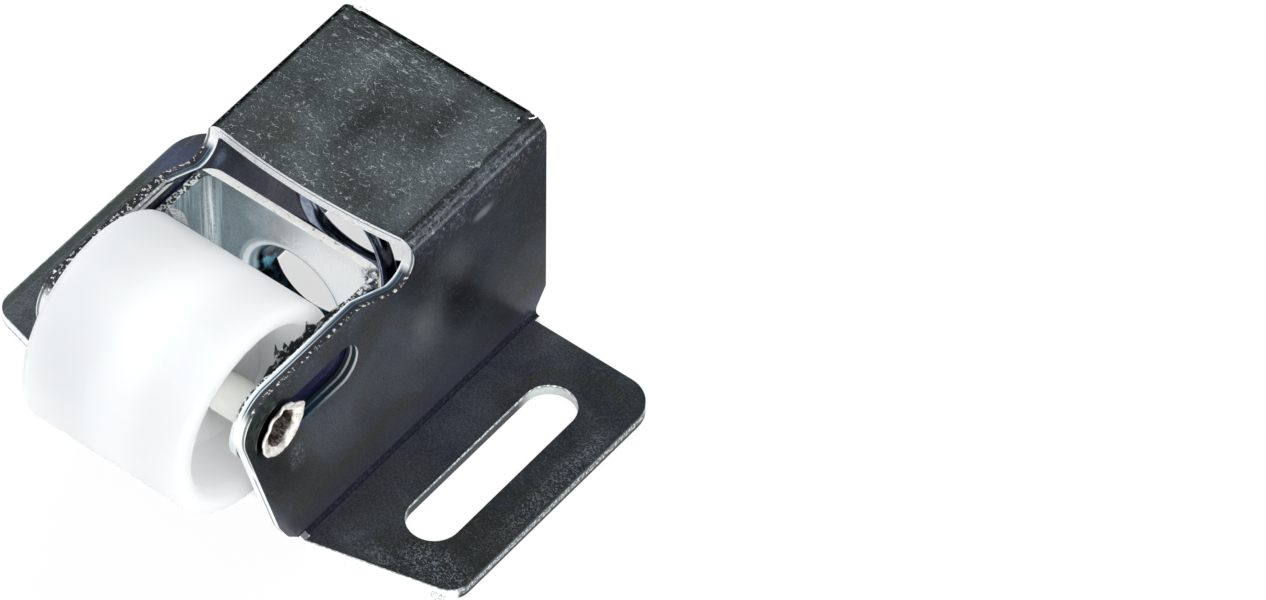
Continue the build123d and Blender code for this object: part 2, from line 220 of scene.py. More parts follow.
def times(tree, a, b):
    """The product of two values or masks."""
    return calc(tree, "MULTIPLY", a, b)


def opposite(tree, mask):
    """1 where the mask is 0."""
    return calc(tree, "SUBTRACT", 1.0, mask)


def all_of(tree, *masks):
    """1 where every mask is 1."""
    found = masks[0]
    for mask in masks[1:]:
        found = times(tree, found, mask)
    return found


def any_of(tree, *masks):
    """1 where some mask is 1."""
    found = masks[0]
    for mask in masks[1:]:
        found = calc(tree, "MAXIMUM", found, mask)
    return found


def within(tree, value, low, high):
    """1 where the value lies between low and high."""
    above = calc(tree, "GREATER_THAN", value, low)
    below = calc(tree, "LESS_THAN", value, high)
    return times(tree, above, below)


def ramp(tree, value, low, high, to_low=0.0, to_high=1.0):
    """A smooth step from to_low at low to to_high at high."""
    inputs = {"Value": value, "From Min": low, "From Max": high, "To Min": to_low, "To Max": to_high}
    return add(tree, "ShaderNodeMapRange", inputs, interpolation_type="SMOOTHSTEP").outputs[0]


def line_at(tree, value, middle, wide, sharp, most=1.0):
    """A line where the value is near a middle: most within sharp of it and 0 beyond wide."""
    off = calc(tree, "ABSOLUTE", calc(tree, "SUBTRACT", value, middle))
    return ramp(tree, off, wide, sharp, 0.0, most)


def distance(tree, a, b, middle):
    """How far the point a, b of a plane is from its middle."""
    a = calc(tree, "ADD", a, -middle[0])
    b = calc(tree, "ADD", b, -middle[1])
    return calc(tree, "SQRT", calc(tree, "ADD", times(tree, a, a), times(tree, b, b)))


def grey(level):
    """A grey."""
    return (level, level, level)


def mix(tree, share, a, b, how="MIX"):
    """Colour a going over to colour b."""
    node = tree.nodes.new("ShaderNodeMix")
    node.data_type = "RGBA"
    node.blend_type = how
    link_or_set(tree, node.inputs[0], share)
    link_or_set(tree, node.inputs[6], a)
    link_or_set(tree, node.inputs[7], b)
    return node.outputs[2]


def blend(tree, share, a, b):
    """Value a going over to value b."""
    node = add(tree, "ShaderNodeMix", {0: share, 2: a, 3: b})
    return node.outputs[0]


def split(tree, vector):
    """The three parts of a vector."""
    node = add(tree, "ShaderNodeSeparateXYZ", {0: vector})
    return node.outputs[0], node.outputs[1], node.outputs[2]


def move(tree, operation, a, b=None, result=0):
    """One step of vector arithmetic."""
    inputs = {0: a} if b is None else {0: a, 1: b}
    return add(tree, "ShaderNodeVectorMath", inputs, operation=operation).outputs[result]


def stretched(tree, place, turn_deg, scale):
    """The coordinates turned and stretched, for streaks and scratches."""
    turn = tuple(math.radians(a) for a in turn_deg)
    node = add(tree, "ShaderNodeMapping", {"Vector": place, "Rotation": turn, "Scale": scale})
    return node.outputs[0]


def noise(tree, place, scale, detail=3.0, rough=0.55, twist=0.0):
    """Soft cloudy values from 0 to 1."""
    inputs = {"Vector": place, "Scale": scale, "Detail": detail, "Roughness": rough, "Distortion": twist}
    return add(tree, "ShaderNodeTexNoise", inputs).outputs["Fac"]


def shaken(tree, place, scale, reach):
    """The coordinates pushed about by noise, so that what is drawn on them loses its plain shape."""
    push = add(tree, "ShaderNodeTexNoise", {"Vector": place, "Scale": scale, "Detail": 2.0}).outputs["Color"]
    push = move(tree, "SUBTRACT", push, (0.5, 0.5, 0.5))
    push = add(tree, "ShaderNodeVectorMath", {0: push, "Scale": reach}, operation="SCALE").outputs[0]
    return move(tree, "ADD", place, push)


def specks(tree, place, scale, size, kept):
    """Scattered ragged dots, of which kept is the share that shows."""
    ragged = shaken(tree, place, scale * 3, 0.25 / scale)
    cell = add(tree, "ShaderNodeTexVoronoi", {"Vector": ragged, "Scale": scale})
    dot = ramp(tree, cell.outputs["Distance"], size, size * 0.5)
    chance = add(tree, "ShaderNodeSeparateColor", {"Color": cell.outputs["Color"]}).outputs[0]
    shown = calc(tree, "LESS_THAN", chance, kept)
    return times(tree, dot, shown)


def hairs(tree, place, turn, scale, width, kept, bend):
    """Fine curved scratches: the cell walls of a bent, stretched mesh, shown here and there."""
    along = stretched(tree, place, (0, 0, turn), scale)
    bent = shaken(tree, along, 0.6, bend)
    cell = add(tree, "ShaderNodeTexVoronoi", {"Vector": bent, "Scale": 1.0}, feature="DISTANCE_TO_EDGE")
    line = ramp(tree, cell.outputs["Distance"], width, width * 0.3)
    patch = noise(tree, along, 1.7, 2.0, 0.6)
    shown = ramp(tree, patch, 1.0 - kept, 1.06 - kept)
    return times(tree, line, shown)


def spot(tree, place, middle, reach, soft):
    """A soft ragged patch: 1 at its middle, 0 beyond its reach along each axis."""
    ragged = 0.5
    away = move(tree, "SUBTRACT", place, middle)
    away = move(tree, "DIVIDE", away, reach)
    away = move(tree, "LENGTH", away, result="Value")
    fray = calc(tree, "MULTIPLY_ADD", noise(tree, place, 1.1, 4.0, 0.65), ragged, -ragged / 2)
    return ramp(tree, calc(tree, "ADD", away, fray), 1.0, 1.0 - soft)


def spots(tree, place, table):
    """The strongest of the soft patches that a table lists."""
    return any_of(tree, *[all_of(tree, spot(tree, place, *row[:3]), *row[3:]) for row in table])


def bump(tree, height, depth, strength, after=None):
    """Surface relief of the given depth in millimetres."""
    inputs = {"Height": height, "Distance": depth * MM, "Strength": strength}
    if after is not None:
        inputs["Normal"] = after
    return add(tree, "ShaderNodeBump", inputs).outputs[0]


class Surface:
    """A new material, with the place in millimetres and the normal that its tones depend on."""

    def __init__(self, name):
        self.material = bpy.data.materials.new(name)
        self.material.use_nodes = True
        self.tree = self.material.node_tree
        self.tree.nodes.clear()
        coords = self.tree.nodes.new("ShaderNodeTexCoord")
        sized = {0: coords.outputs["Object"], "Scale": 1 / MM}
        self.place = add(self.tree, "ShaderNodeVectorMath", sized, operation="SCALE").outputs[0]
        self.x, self.y, self.z = split(self.tree, self.place)
        self.nx, self.ny, self.nz = split(self.tree, coords.outputs["Normal"])
        self.ax = calc(self.tree, "ABSOLUTE", self.x)
        self.anx = calc(self.tree, "ABSOLUTE", self.nx)

    def finish(self, inputs):
        """Adds the one shader and the output, and gives the material."""
        shader = add(self.tree, "ShaderNodeBsdfPrincipled", inputs)
        out = self.tree.nodes.new("ShaderNodeOutputMaterial")
        self.tree.links.new(shader.outputs[0], out.inputs[0])
        return self.material


def hood_cut_faces(s):
    """1 on the hood's sheared edges, by kind: those of walls and bends, of the plate and of the wings."""
    tree = s.tree
    any_ = calc(tree, "ABSOLUTE", s.ny)
    anz = calc(tree, "ABSOLUTE", s.nz)
    wall = all_of(tree, within(tree, s.ax, 9.7, 11.2), within(tree, s.z, 1.9, 23.6), within(tree, s.anx, -1, 0.5))
    bend = all_of(tree, within(tree, s.ax, 9.4, 11.2), within(tree, s.z, 22.6, 30), within(tree, any_, 0.7, 2))
    plate = all_of(tree, within(tree, s.ax, -1, 9.6), within(tree, s.y, -99, 20), within(tree, s.z, 22.8, 30))
    plate = times(tree, plate, within(tree, anz, -1, 0.5))
    wing = all_of(tree, within(tree, s.ax, 11.4, 99), within(tree, s.z, -1, 1.3), within(tree, anz, -1, 0.5))
    return any_of(tree, wall, bend), plate, wing


def hood_marks(s):
    """The hood's wear: fine specks, small clusters of them and short curved scratches."""
    tree, place = s.tree, s.place
    crowd = noise(tree, place, 0.22, 3.0, 0.6)
    fine = any_of(tree, specks(tree, place, 2.6, 0.15, 0.3), specks(tree, place, 4.4, 0.18, 0.3))
    coarse = times(tree, specks(tree, place, 1.7, 0.13, 0.5), ramp(tree, crowd, 0.5, 0.62))
    fine = times(tree, fine, ramp(tree, crowd, 0.36, 0.66, 0.3, 1.0))
    lines = any_of(tree, *[times(tree, hairs(tree, place, *row[:5]), row[5]) for row in SCRATCHES])
    rear = spot(tree, place, (-3.5, 20.2, PLATE_Z), (6.5, 2.6, 3.0), 0.5)
    combed = hairs(tree, place, -4, (0.35, 3.2, 3.0), 0.05, 0.5, 1.1)
    lines = any_of(tree, lines, all_of(tree, combed, rear, 0.9))
    return fine, coarse, lines


def plate_tone(s, cloud):
    """The plate: slate grey with olive, dark and rusty patches, pale patches of painted sheen and painted shade along
    the rear bend.
    """
    tree, place = s.tree, s.place
    slate = mix(tree, ramp(tree, cloud, 0.32, 0.68), (0.34, 0.38, 0.37), (0.56, 0.62, 0.64))
    # Painted sheen: pale patches over the slate.
    bright = spots(tree, place, SHEEN_ON_PLATE)
    slate = mix(tree, times(tree, bright, 0.7), slate, (0.72, 0.82, 0.88))
    olive = spots(tree, place, OLIVE_ON_PLATE)
    slate = mix(tree, times(tree, olive, 0.62), slate, (0.24, 0.265, 0.235))
    # Painted shade along the rear bend, joined with the plate's dark patches.
    rear = ramp(tree, calc(tree, "ADD", s.y, times(tree, cloud, 1.2)), 21.0, 22.2)
    dark = any_of(tree, rear, spots(tree, place, DARK_ON_PLATE))
    slate = mix(tree, times(tree, dark, 0.6), slate, (0.13, 0.145, 0.135))
    pocked = ramp(tree, noise(tree, place, 3.2, 2.0, 0.6), 0.52, 0.6)
    rust = times(tree, spots(tree, place, RUST_ON_PLATE), pocked)
    return mix(tree, times(tree, rust, 0.7), slate, (0.42, 0.3, 0.2))


def wall_tone(s, cloud, brown):
    """The side walls: dark, with brown clouds, and painted shade: darker towards the rear and top, where they mirror
    the floor, lighter at the front.
    """
    tree = s.tree
    wall = mix(tree, ramp(tree, cloud, 0.36, 0.62), (0.066, 0.073, 0.086), (0.086, 0.096, 0.112))
    wall = mix(tree, ramp(tree, brown, 0.42, 0.6, 0.0, 0.8), wall, (0.070, 0.069, 0.062))
    # Painted shade: darker towards the rear and top, where the walls mirror the bright floor, lighter towards the front
    # and bottom.
    painted_mirror_shade = ramp(tree, calc(tree, "ADD", s.y, times(tree, s.z, 0.677)), 14.0, 22.0)
    wall = mix(tree, 1.0, wall, mix(tree, painted_mirror_shade, grey(1.35), grey(0.5)), "MULTIPLY")
    lighter = spot(tree, s.place, (HOOD_X, 8.0, 16.5), (1.0, 6.0, 5.0), 0.9)
    return mix(tree, times(tree, lighter, 0.5), wall, (0.17, 0.18, 0.19))


def painted_bend_reflections(s, steel):
    """Painted reflections round the plate's bends: a speckled painted highlight band on the right one, a painted dark
    line beside it, and painted shade on the left and rear ones.
    """
    tree, place = s.tree, s.place
    high = ramp(tree, s.z, 22.5, 22.8)
    right = times(tree, high, calc(tree, "GREATER_THAN", s.x, 0.0))
    left = times(tree, high, calc(tree, "LESS_THAN", s.x, 0.0))
    fleck = noise(tree, stretched(tree, place, (0, 0, 0), (2.0, 0.8, 2.0)), 1.6, 4.0, 0.75)
    # Painted highlight: a speckled pale band on the right bend.
    pale = mix(tree, ramp(tree, fleck, 0.4, 0.6), (0.07, 0.08, 0.1), (0.3, 0.34, 0.42))
    corner = spot(tree, place, (10.2, 21.2, 24.0), (0.9, 1.5, 1.4), 0.5)
    band = all_of(tree, right, ramp(tree, s.anx, 0.3, 0.46), ramp(tree, s.anx, 0.93, 0.76))
    band = times(tree, band, opposite(tree, corner))
    steel = mix(tree, times(tree, band, 0.85), steel, pale)
    # Painted shade: a dark line where the right bend leaves the plate, and at its rear corner.
    line = all_of(tree, right, ramp(tree, s.anx, 0.02, 0.08), ramp(tree, s.anx, 0.36, 0.26))
    line = any_of(tree, line, times(tree, right, corner))
    steel = mix(tree, times(tree, line, 0.75), steel, (0.09, 0.095, 0.1))
    # Painted shade: the left and rear bends dark.
    left = all_of(tree, left, ramp(tree, s.anx, 0.16, 0.5), ramp(tree, s.anx, 0.99, 0.84))
    rear = all_of(tree, high, ramp(tree, s.ny, 0.12, 0.4), ramp(tree, s.ny, 0.98, 0.78))
    return mix(tree, any_of(tree, left, rear), steel, (0.022, 0.024, 0.026))


def inside_shade_and_sheen(s, cloud):
    """The hood's inside: painted shade, dark and darker towards the right, with a painted blue sheen high on the left
    wall.
    """
    tree = s.tree
    # Painted shade: the hood's inside dark, and darker still towards the right.
    inside_shade = mix(tree, ramp(tree, cloud, 0.4, 0.6), (0.08, 0.085, 0.11), (0.12, 0.12, 0.14))
    inside_shade = mix(tree, ramp(tree, s.x, -7.0, -2.0, 0.0, 0.55), inside_shade, (0.02, 0.02, 0.03))
    return mix(tree, spots(tree, s.place, SHEEN_INSIDE), inside_shade, (0.22, 0.31, 0.42))


def rivet_dimple_shading(s, steel, side, film):
    """The wall round the rivet's rim: painted shade of a pressed dimple as a dark green band and a darker rim, with a
    thin painted highlight ring.
    """
    tree = s.tree
    spread = distance(tree, s.y, s.z, AXLE)
    pressed = all_of(tree, side, within(tree, s.x, 10.5, 99), ramp(tree, s.y, -12.8, -13.6))
    pressed = times(tree, pressed, ramp(tree, s.z, 14.5, 17.0))
    # Painted shade: a dark green band on the pressed wall in front of the rivet.
    green = mix(tree, ramp(tree, film, 0.4, 0.6), (0.035, 0.045, 0.038), (0.1, 0.12, 0.105))
    steel = mix(tree, times(tree, pressed, ramp(tree, spread, 2.9, 3.9)), steel, green)
    # Painted shadow: the darker rim next to the rivet.
    steel = mix(tree, times(tree, pressed, ramp(tree, spread, 3.4, 3.0)), steel, (0.015, 0.017, 0.016))
    # Painted highlight: the thin pale ring.
    ring = all_of(tree, pressed, line_at(tree, spread, 3.12, 0.09, 0.03), ramp(tree, s.z, 16.6, 17.8))
    return mix(tree, times(tree, ring, 0.7), steel, (0.7, 0.74, 0.7))


def wing_tones(s, steel, film):
    """The left wing's lined margin and violet corner, and painted shade, beaded, in the folds from the walls into both
    wings.
    """
    tree, place = s.tree, s.place
    flat = ramp(tree, s.nz, 0.7, 0.9)
    margin = all_of(tree, within(tree, s.x, -99, 0), ramp(tree, s.x, -23.95, -24.1), flat)
    steel = mix(tree, times(tree, margin, 0.5), steel, (0.2, 0.24, 0.2))
    lined = any_of(tree, ramp(tree, s.x, -24.8, -24.9), line_at(tree, s.x, -24.1, 0.09, 0.03, 0.5))
    lined = all_of(tree, lined, flat, ramp(tree, film, 0.38, 0.5))
    steel = mix(tree, times(tree, lined, 0.6), steel, (0.75, 0.8, 0.78))
    violet = spot(tree, place, (-23.4, 14.5, WING_Z), (3.6, 4.0, 2.0), 0.9)
    steel = mix(tree, times(tree, violet, 0.6), steel, (0.24, 0.28, 0.55))
    # Painted shade: the folds from the walls into the wings darkened over the highlight they would show.
    crease = all_of(tree, within(tree, s.ax, 10.9, 11.9), ramp(tree, s.anx, 0.1, 0.25), ramp(tree, s.nz, 0.1, 0.25))
    beaded = ramp(tree, noise(tree, place, 4.0, 2.0, 0.6), 0.5, 0.62)
    painted_crease_shade = mix(tree, beaded, (0.038, 0.04, 0.062), (0.07, 0.074, 0.12))
    return mix(tree, crease, steel, painted_crease_shade)


def top_edge_tone(s, fracture):
    """The ears' top edges: a bright inner line, a slick band with a dark line and a chipped outer side."""
    tree = s.tree
    slick = mix(tree, ramp(tree, s.y, -3.0, -11.0), (0.10, 0.17, 0.25), (0.66, 0.77, 0.82))
    slick = mix(tree, line_at(tree, s.ax, 10.2, 0.1, 0.04), slick, (0.03, 0.04, 0.06))
    sparse = mix(tree, ramp(tree, s.ax, 10.62, 10.78), (0.03, 0.033, 0.04), fracture)
    edge = mix(tree, ramp(tree, s.ax, 10.3, 10.42), slick, sparse)
    bare = all_of(tree, within(tree, s.x, -99, 0), ramp(tree, s.y, -1.2, -2.0))
    edge = mix(tree, bare, edge, fracture)
    inner_line = times(tree, ramp(tree, s.ax, 10.02, 9.92), blend(tree, bare, 1.0, 0.4))
    return mix(tree, inner_line, edge, (0.9, 0.94, 0.95))


def front_edge_tone(s, torn):
    """The ears' front edges: white, scored below and rolled over above."""
    tree = s.tree
    edge = mix(tree, ramp(tree, torn, 0.3, 0.42), (0.7, 0.73, 0.76), (0.96, 0.965, 0.97))
    scored = times(tree, line_at(tree, s.ax, 10.5, 0.15, 0.06), ramp(tree, s.z, 14.0, 12.5))
    edge = mix(tree, times(tree, scored, 0.8), edge, (0.2, 0.21, 0.2))
    rolled = times(tree, line_at(tree, s.ax, 10.8, 0.16, 0.06), ramp(tree, s.z, 14.0, 16.0))
    return mix(tree, times(tree, rolled, 0.85), edge, (0.08, 0.1, 0.1))


def axle_slot_tone(s, torn):
    """The axle slots' rims: painted shade, dark, with two painted highlight lines that shine towards the slots' rear
    ends.
    """
    tree = s.tree
    # Painted shade: the rims dark; painted highlights: two lines that brighten towards the rear ends.
    lip = mix(tree, ramp(tree, s.y, -6.5, -3.5), (0.025, 0.05, 0.07), (0.03, 0.045, 0.05))
    lines = any_of(tree, ramp(tree, s.ax, 10.72, 10.85), line_at(tree, s.ax, 10.25, 0.14, 0.05, 0.7))
    shine = mix(tree, ramp(tree, s.y, -8.5, -4.5), (0.16, 0.28, 0.34), (0.88, 0.93, 0.92))
    return mix(tree, times(tree, lines, ramp(tree, torn, 0.34, 0.46, 0.5, 1.0)), lip, shine)


def wing_edge_tones(s, edge, wing_cut):
    """The wings' outer edges, the lines along their front edges and the screw slots' walls."""
    tree = s.tree
    beaded = ramp(tree, noise(tree, s.place, 3.6, 2.0, 0.6), 0.44, 0.62)
    side_edge = mix(tree, beaded, (0.13, 0.15, 0.15), (0.62, 0.66, 0.66))
    bounds = any_of(tree, ramp(tree, s.z, 0.42, 0.3), ramp(tree, s.z, 0.9, 1.0))
    side_edge = mix(tree, bounds, side_edge, (0.035, 0.04, 0.045))
    outer = all_of(tree, wing_cut, ramp(tree, s.ax, 22.0, 22.6), ramp(tree, s.anx, 0.8, 0.9))
    edge = mix(tree, outer, edge, side_edge)
    low_line = times(tree, ramp(tree, s.z, 0.24, 0.12), within(tree, s.x, -99, 0))
    lines = any_of(tree, ramp(tree, s.z, 0.98, 1.08, 0.0, 0.8), low_line)
    lines = all_of(tree, wing_cut, ramp(tree, calc(tree, "MULTIPLY", s.ny, -1.0), 0.2, 0.4), lines)
    edge = mix(tree, lines, edge, mix(tree, beaded, (0.12, 0.16, 0.18), (0.6, 0.7, 0.75)))
    # Painted shade: the screw slots' walls dark below, with a painted lit line along the top and paler at both ends.
    slot_wall = all_of(tree, wing_cut, ramp(tree, s.ax, 22.6, 22.0), within(tree, s.y, -6.5, 17))
    lit = mix(tree, beaded, (0.25, 0.28, 0.28), (0.85, 0.88, 0.88))
    rear = ramp(tree, s.y, 11.5, 13.8, 0.0, 0.8)
    tone = mix(tree, rear, (0.04, 0.045, 0.05), (0.75, 0.78, 0.78))
    tone = mix(tree, ramp(tree, s.y, -2.6, -3.6, 0.0, 0.7), tone, (0.8, 0.83, 0.83))
    tone = mix(tree, ramp(tree, s.z, 0.8, 0.95), tone, lit)
    return mix(tree, slot_wall, edge, tone)


def edge_tones(s, torn, up, cuts):
    """Every sheared edge of the hood."""
    tree = s.tree
    wall_cut, plate_cut, wing_cut = cuts
    chips = ramp(tree, noise(tree, s.place, 3.0, 3.0, 0.65), 0.54, 0.6)
    outer = calc(tree, "MAXIMUM", ramp(tree, s.ax, 10.4, 10.9, 0.35, 1.0), within(tree, s.x, -99, 0))
    chips = times(tree, chips, outer)
    fracture = mix(tree, chips, (0.035, 0.035, 0.04), (0.82, 0.84, 0.84))
    edge = mix(tree, up, front_edge_tone(s, torn), top_edge_tone(s, fracture))
    in_slot = all_of(tree, wall_cut, within(tree, s.z, 15.1, 19.9), within(tree, s.y, -15.0, -1.8))
    edge = mix(tree, in_slot, edge, axle_slot_tone(s, torn))
    edge = wing_edge_tones(s, edge, wing_cut)
    line = times(tree, plate_cut, line_at(tree, s.z, 23.86, 0.1, 0.04))
    return mix(tree, times(tree, line, 0.75), edge, (0.12, 0.13, 0.15))


def hood_zinc():
    """Bright zinc on the folded hood: dark, speckled and scratched, pale on the sheared edges."""
    s = Surface("hood_zinc")
    tree, place = s.tree, s.place
    cloud = noise(tree, place, 0.16, 4.0, 0.6, 0.5)
    film = noise(tree, place, 1.6, 4.0, 0.7)
    grain = noise(tree, place, 6.0, 2.0, 0.6)
    brown = noise(tree, place, 0.13, 3.0, 0.6, 0.8)
    torn = noise(tree, place, 2.6, 3.0, 0.7)
    fine, coarse, lines = hood_marks(s)
    side = ramp(tree, s.anx, 0.75, 0.97)
    up = ramp(tree, s.nz, 0.45, 0.8)
    inside = all_of(tree, within(tree, s.ax, -1, 9.9), within(tree, s.z, -1, 23.1), within(tree, s.y, -99, 21.6))

    navy = mix(tree, ramp(tree, cloud, 0.38, 0.62), (0.17, 0.19, 0.225), (0.27, 0.30, 0.33))
    navy = mix(tree, ramp(tree, brown, 0.46, 0.62, 0.0, 0.8), navy, (0.2, 0.205, 0.185))
    steel = mix(tree, ramp(tree, s.z, 21.5, 17.0), plate_tone(s, cloud), navy)
    steel = mix(tree, side, steel, wall_tone(s, cloud, brown))
    steel = painted_bend_reflections(s, steel)
    steel = mix(tree, inside, steel, inside_shade_and_sheen(s, cloud))
    fold_side = all_of(tree, ramp(tree, s.z, 5.5, 1.2), within(tree, s.x, 9, 99), ramp(tree, s.x, 19.0, 11.5))
    steel = mix(tree, times(tree, fold_side, 0.5), steel, (0.12, 0.125, 0.2))
    grained = mix(tree, ramp(tree, grain, 0.32, 0.7), grey(0.7), grey(1.35))
    steel = mix(tree, 1.0, steel, grained, "MULTIPLY")
    hazy = times(tree, ramp(tree, film, 0.5, 0.8, 0.0, 0.4), ramp(tree, s.z, 20.0, 23.5, 0.12, 1.0))
    steel = mix(tree, hazy, steel, (0.5, 0.54, 0.56))

    # Dust, with the painted blue-white sheen beside the rivet.
    dust_and_sheen = times(tree, spots(tree, place, DUST_AND_SHEEN), ramp(tree, noise(tree, place, 5.5, 2.0, 0.7), 0.5, 0.62))
    wiped = noise(tree, stretched(tree, place, (20, 0, 0), (0.5, 2.6, 0.7)), 1.0, 3.0, 0.6)
    smear = times(tree, spot(tree, place, (HOOD_X, 6.6, 13.5), (1.0, 3.4, 4.4), 0.9), wiped)
    rub = times(tree, spot(tree, place, (HOOD_X, 13.6, 20.3), (1.0, 1.9, 0.8), 0.9), 0.8)
    smear = any_of(tree, smear, rub)
    level = any_of(tree, ramp(tree, s.z, 20.0, 23.5, 0.08, 1.0), times(tree, ramp(tree, s.z, 3.0, 1.3), 0.25))
    marks = any_of(tree, times(tree, fine, 0.55), times(tree, coarse, 0.85), times(tree, lines, 0.55))
    marks = any_of(tree, times(tree, marks, level), times(tree, dust_and_sheen, 0.42), times(tree, smear, 0.22))
    marks = add(tree, "ShaderNodeClamp", {"Value": marks}).outputs[0]
    steel = mix(tree, marks, steel, mix(tree, dust_and_sheen, (0.78, 0.84, 0.86), (0.42, 0.58, 0.72)))
    steel = rivet_dimple_shading(s, steel, side, film)
    steel = wing_tones(s, steel, film)

    cuts = hood_cut_faces(s)
    cut = any_of(tree, *cuts)
    base = mix(tree, cut, steel, edge_tones(s, torn, up, cuts))

    metal = calc(tree, "SUBTRACT", 0.97, times(tree, marks, 0.6))
    wall_foot = times(tree, side, ramp(tree, s.z, 15.0, 4.0))
    wing_root = times(tree, ramp(tree, s.z, 2.5, 1.4), ramp(tree, s.x, 20.0, 13.0))
    metal = blend(tree, any_of(tree, wall_foot, wing_root), metal, blend(tree, side, 0.84, 0.62))
    metal = blend(tree, cut, metal, blend(tree, up, 0.35, 0.45))
    rough = blend(tree, cloud, 0.24, 0.34)
    rough = blend(tree, marks, rough, 0.5)
    rough = blend(tree, cut, rough, 0.38)
    relief = bump(tree, grain, 0.008, 0.7)
    relief = bump(tree, lines, 0.02, 0.5, relief)
    relief = bump(tree, times(tree, torn, cut), 0.12, 0.7, relief)
    turned = any_of(tree, ramp(tree, s.ny, 0.1, 0.3), ramp(tree, s.nx, -0.1, -0.3))
    bent = times(tree, ramp(tree, s.z, 22.5, 22.8), turned)
    tint = mix(tree, any_of(tree, side, inside), grey(1), (0.5, 0.52, 0.56))
    tint = mix(tree, bent, tint, (0.2, 0.2, 0.22))
    return s.finish(
        {"Base Color": base, "Metallic": metal, "Roughness": rough, "Specular Tint": tint, "Normal": relief}
    )


def web_hole_tones(s, steel):
    """The flanged hole: a painted highlight on its lip, a blue-grey ring, and painted shade in the collar with a
    painted cyan glint.
    """
    tree = s.tree
    spread = distance(tree, s.x, s.z, WEB_HOLE)
    near_hole = within(tree, s.y, 1.9, 6.0)
    # Painted highlight: the hole's rounded lip, brighter on the left.
    lip = all_of(tree, near_hole, ramp(tree, spread, 5.9, 5.6), ramp(tree, spread, 4.7, 4.9))
    lip = times(tree, lip, ramp(tree, s.x, 1.5, -1.5, 0.35, 1.0))
    steel = mix(tree, times(tree, lip, 0.8), steel, (0.86, 0.95, 0.98))
    ring = line_at(tree, spread, 4.75, ramp(tree, s.x, 0.0, 2.0, 0.22, 0.4), 0.08)
    steel = mix(tree, times(tree, times(tree, near_hole, ring), 0.75), steel, (0.16, 0.26, 0.34))
    # Painted shade inside the collar, with a painted cyan glint.
    pit = times(tree, near_hole, ramp(tree, spread, 4.5, 4.3))
    pooled = ramp(tree, noise(tree, s.place, 1.1, 3.0, 0.6), 0.42, 0.58)
    return mix(tree, pit, steel, mix(tree, pooled, (0.01, 0.015, 0.03), (0.16, 0.46, 0.62)))


def channel_zinc():
    """Bright zinc on the sliding channel: teal-grey at one side and pale at the other as painted reflection, with
    painted highlight streaks on the bends.
    """
    s = Surface("channel_zinc")
    tree, place = s.tree, s.place
    cloud = noise(tree, place, 0.3, 4.0, 0.6, 0.3)
    grain = noise(tree, place, 5.0, 3.0, 0.65)
    streak = noise(tree, stretched(tree, place, (0, 0, 0), (2.6, 2.6, 0.1)), 1.0, 3.0, 0.6)
    # Painted reflection: the channel pale towards the right, teal-grey towards the left.
    lean = calc(tree, "ADD", s.x, times(tree, calc(tree, "SUBTRACT", cloud, 0.5), 6.0))
    pale = ramp(tree, lean, -6.2, 0.2)
    steel = mix(tree, pale, (0.42, 0.50, 0.53), (0.97, 0.99, 1.0))
    shade = mix(tree, ramp(tree, grain, 0.35, 0.7), grey(0.72), grey(1.2))
    steel = mix(tree, blend(tree, pale, 0.9, 0.15), steel, shade, "MULTIPLY")
    # Painted highlights: pale streaks towards both legs and a pale line on the left bend.
    bend_highlights = times(tree, ramp(tree, s.ax, 6.6, 7.4), ramp(tree, streak, 0.5, 0.62))
    steel = mix(tree, times(tree, bend_highlights, 0.8), steel, (0.80, 0.90, 0.92))
    steel = mix(tree, times(tree, line_at(tree, s.x, -7.9, 0.3, 0.12), 0.7), steel, (0.88, 0.95, 0.96))
    steel = web_hole_tones(s, steel)

    web = within(tree, s.y, 1.9, 2.85)
    leg = all_of(tree, within(tree, s.ax, 8.8, 9.8), within(tree, s.y, -99, 1.4))
    up = ramp(tree, s.nz, 0.5, 0.8)
    chips = ramp(tree, noise(tree, place, 3.2, 3.0, 0.65), 0.48, 0.56)
    flaked = mix(tree, chips, (0.04, 0.045, 0.05), (0.86, 0.9, 0.9))
    worn = ramp(tree, noise(tree, place, 1.4, 3.0, 0.6), 0.3, 0.4)
    rim = mix(tree, worn, (0.4, 0.4, 0.37), (0.97, 0.97, 0.94))
    steel = mix(tree, all_of(tree, leg, up), steel, flaked)
    steel = mix(tree, all_of(tree, web, up), steel, rim)
    cut = times(tree, any_of(tree, leg, web), up)
    # Painted shade: the legs' outer faces, under the hood's walls, dark blue.
    outside = all_of(tree, within(tree, s.ax, 9.6, 99), within(tree, s.y, -99, 1.0))
    steel = mix(tree, outside, steel, (0.035, 0.04, 0.12))
    corner = spot(tree, place, (8.9, 1.6, 20.6), (1.6, 2.2, 1.6), 0.4)
    folded = ramp(tree, noise(tree, place, 1.5, 3.0, 0.7), 0.47, 0.57)
    steel = mix(tree, corner, steel, mix(tree, folded, (0.03, 0.035, 0.05), (0.8, 0.84, 0.86)))

    metal = blend(tree, cut, blend(tree, pale, 0.95, 0.8), 0.5)
    rough = blend(tree, cut, blend(tree, cloud, 0.2, 0.32), 0.4)
    relief = bump(tree, grain, 0.008, 0.6)
    relief = bump(tree, streak, 0.012, 0.6, relief)
    relief = bump(tree, times(tree, chips, any_of(tree, cut, corner)), 0.1, 0.6, relief)
    return s.finish({"Base Color": steel, "Metallic": metal, "Roughness": rough, "Normal": relief})


